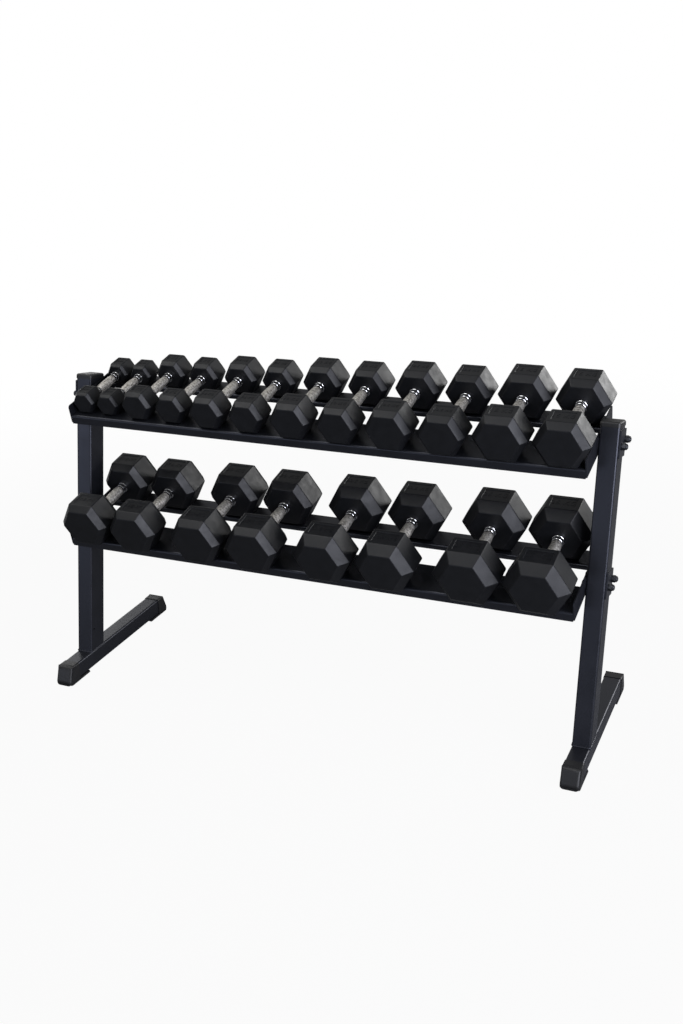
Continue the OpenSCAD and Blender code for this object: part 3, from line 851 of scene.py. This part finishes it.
back = Vector((math.sin(AZIMUTH) * math.cos(ELEVATION), -math.cos(AZIMUTH) * math.cos(ELEVATION),
               math.sin(ELEVATION)))
right = Vector((math.cos(AZIMUTH), math.sin(AZIMUTH), 0))
up = back.cross(right)
side = right * math.cos(ROLL) + up * math.sin(ROLL)
top = up * math.cos(ROLL) - right * math.sin(ROLL)
camera = bpy.data.objects.new("camera", bpy.data.cameras.new("camera"))
bpy.context.scene.collection.objects.link(camera)
camera.data.lens, camera.data.sensor_width = LENS, SENSOR
camera.data.shift_x, camera.data.shift_y = SHIFT_X, SHIFT_Y
turn = Matrix((side, top, back)).transposed().to_4x4()
camera.matrix_world = Matrix.Translation(TARGET + back * DISTANCE) @ turn
bpy.context.scene.camera = camera
print("camera at", [round(v, 2) for v in camera.location])

# %% [markdown]
# Black paint and rubber show their shape by what they reflect, so the lamps are large soft
# boxes. A big one on the right lights the bevels, a long one above draws the tops, two behind
# edge the frame, and a weak bluish one in front fills the dark faces.

# %% Lamps
MIDDLE = (0, -0.2, 0.7)


def lamp(name, place, width, height, power, tint="#ffffff"):
    """A soft rectangular lamp that looks at the middle of the rack. Sizes in m, power in W."""
    data = bpy.data.lights.new(name, "AREA")
    data.shape, data.size, data.size_y = "RECTANGLE", width, height
    data.energy, data.color = power, colour(tint)[:3]
    obj = bpy.data.objects.new(name, data)
    bpy.context.scene.collection.objects.link(obj)
    obj.location = place
    obj.rotation_euler = (Vector(MIDDLE) - Vector(place)).to_track_quat("-Z", "Y").to_euler()


lamp("softbox_right", (3.3, -1.8, 1.6), 3.2, 2.6, 205, "#eef1ff")
lamp("softbox_right_back", (2.4, 3.0, 1.55), 1.1, 0.9, 36)
lamp("softbox_top", (-1.2, -1.2, 3.5), 4.0, 1.6, 52)
lamp("softbox_left_back", (-3.6, 1.8, 0.9), 3.0, 1.6, 30)
lamp("fill_front", (-2.4, -4.8, 0.8), 5.0, 1.4, 34, "#dde6ff")

# %% [markdown]
# The surround is white to the camera and pale in reflections, but it lights the object only
# softly. A light path node tells these rays apart.

# %% Surround
IN_REFLECTIONS, AS_LIGHT = 0.35, 0.14  # the surround's strength; to the camera it is 1

world = bpy.data.worlds.new("surround")
bpy.context.scene.world = world
world.use_nodes = True
t = world.node_tree
t.nodes.clear()
path = add(t, "ShaderNodeLightPath")
seen = add(t, "ShaderNodeMath", {0: path.outputs["Is Camera Ray"],
                                 1: path.outputs["Is Transmission Ray"]}, operation="MAXIMUM")
shiny = add(t, "ShaderNodeMath", {0: path.outputs["Is Glossy Ray"], 1: IN_REFLECTIONS},
            operation="MULTIPLY")
level = add(t, "ShaderNodeMath", {0: seen.outputs[0], 1: shiny.outputs[0]}, operation="MAXIMUM")
strength = add(t, "ShaderNodeMath", {0: level.outputs[0], 1: AS_LIGHT},
               operation="MAXIMUM")
sky = add(t, "ShaderNodeBackground", {"Color": colour("#ffffff"),
                                      "Strength": strength.outputs[0]})
add(t, "ShaderNodeOutputWorld", {"Surface": sky.outputs["Background"]})
print("surround:", len(t.nodes), "nodes")

# %% [markdown]
# To the camera, the floor mixes plain white with its real, lit surface, which keeps a light
# shadow under the feet. Away from the rack it turns fully white, so that no horizon shows.

# %% Floor
FLOOR_WIDE = 60
# how far from the rack the floor turns fully white, and its share of plain white before
FADE_START, FADE_STOP, WHITE_SHARE = 1.3, 4.0, 0.95

deselect()
bpy.ops.mesh.primitive_plane_add(size=FLOOR_WIDE, location=(0, 0, 0))
floor = settle(bpy.context.object)
floor.name = "studio_floor"
mat, t = new_material("floor_white")
path = add(t, "ShaderNodeLightPath")
place = add(t, "ShaderNodeTexCoord").outputs["Object"]
far = add(t, "ShaderNodeVectorMath", {0: place}, operation="LENGTH")
fade = add(t, "ShaderNodeMapRange", {
    "Value": far.outputs["Value"], "From Min": FADE_START, "From Max": FADE_STOP,
    "To Min": WHITE_SHARE, "To Max": 1.0}, interpolation_type="SMOOTHSTEP")
lit = add(t, "ShaderNodeBsdfDiffuse", {"Color": colour("#808080")})
plain = add(t, "ShaderNodeEmission", {"Color": colour("#ffffff"), "Strength": 1.0})
share = add(t, "ShaderNodeMath", {0: path.outputs["Is Camera Ray"],
                                  1: fade.outputs["Result"]}, operation="MULTIPLY")
both = add(t, "ShaderNodeMixShader", {0: share.outputs[0], 1: lit.outputs["BSDF"],
                                      2: plain.outputs["Emission"]})
add(t, "ShaderNodeOutputMaterial", {"Surface": both.outputs["Shader"]})
give(floor, mat)
bpy.context.scene.view_settings.view_transform = "Standard"
print("stage set")
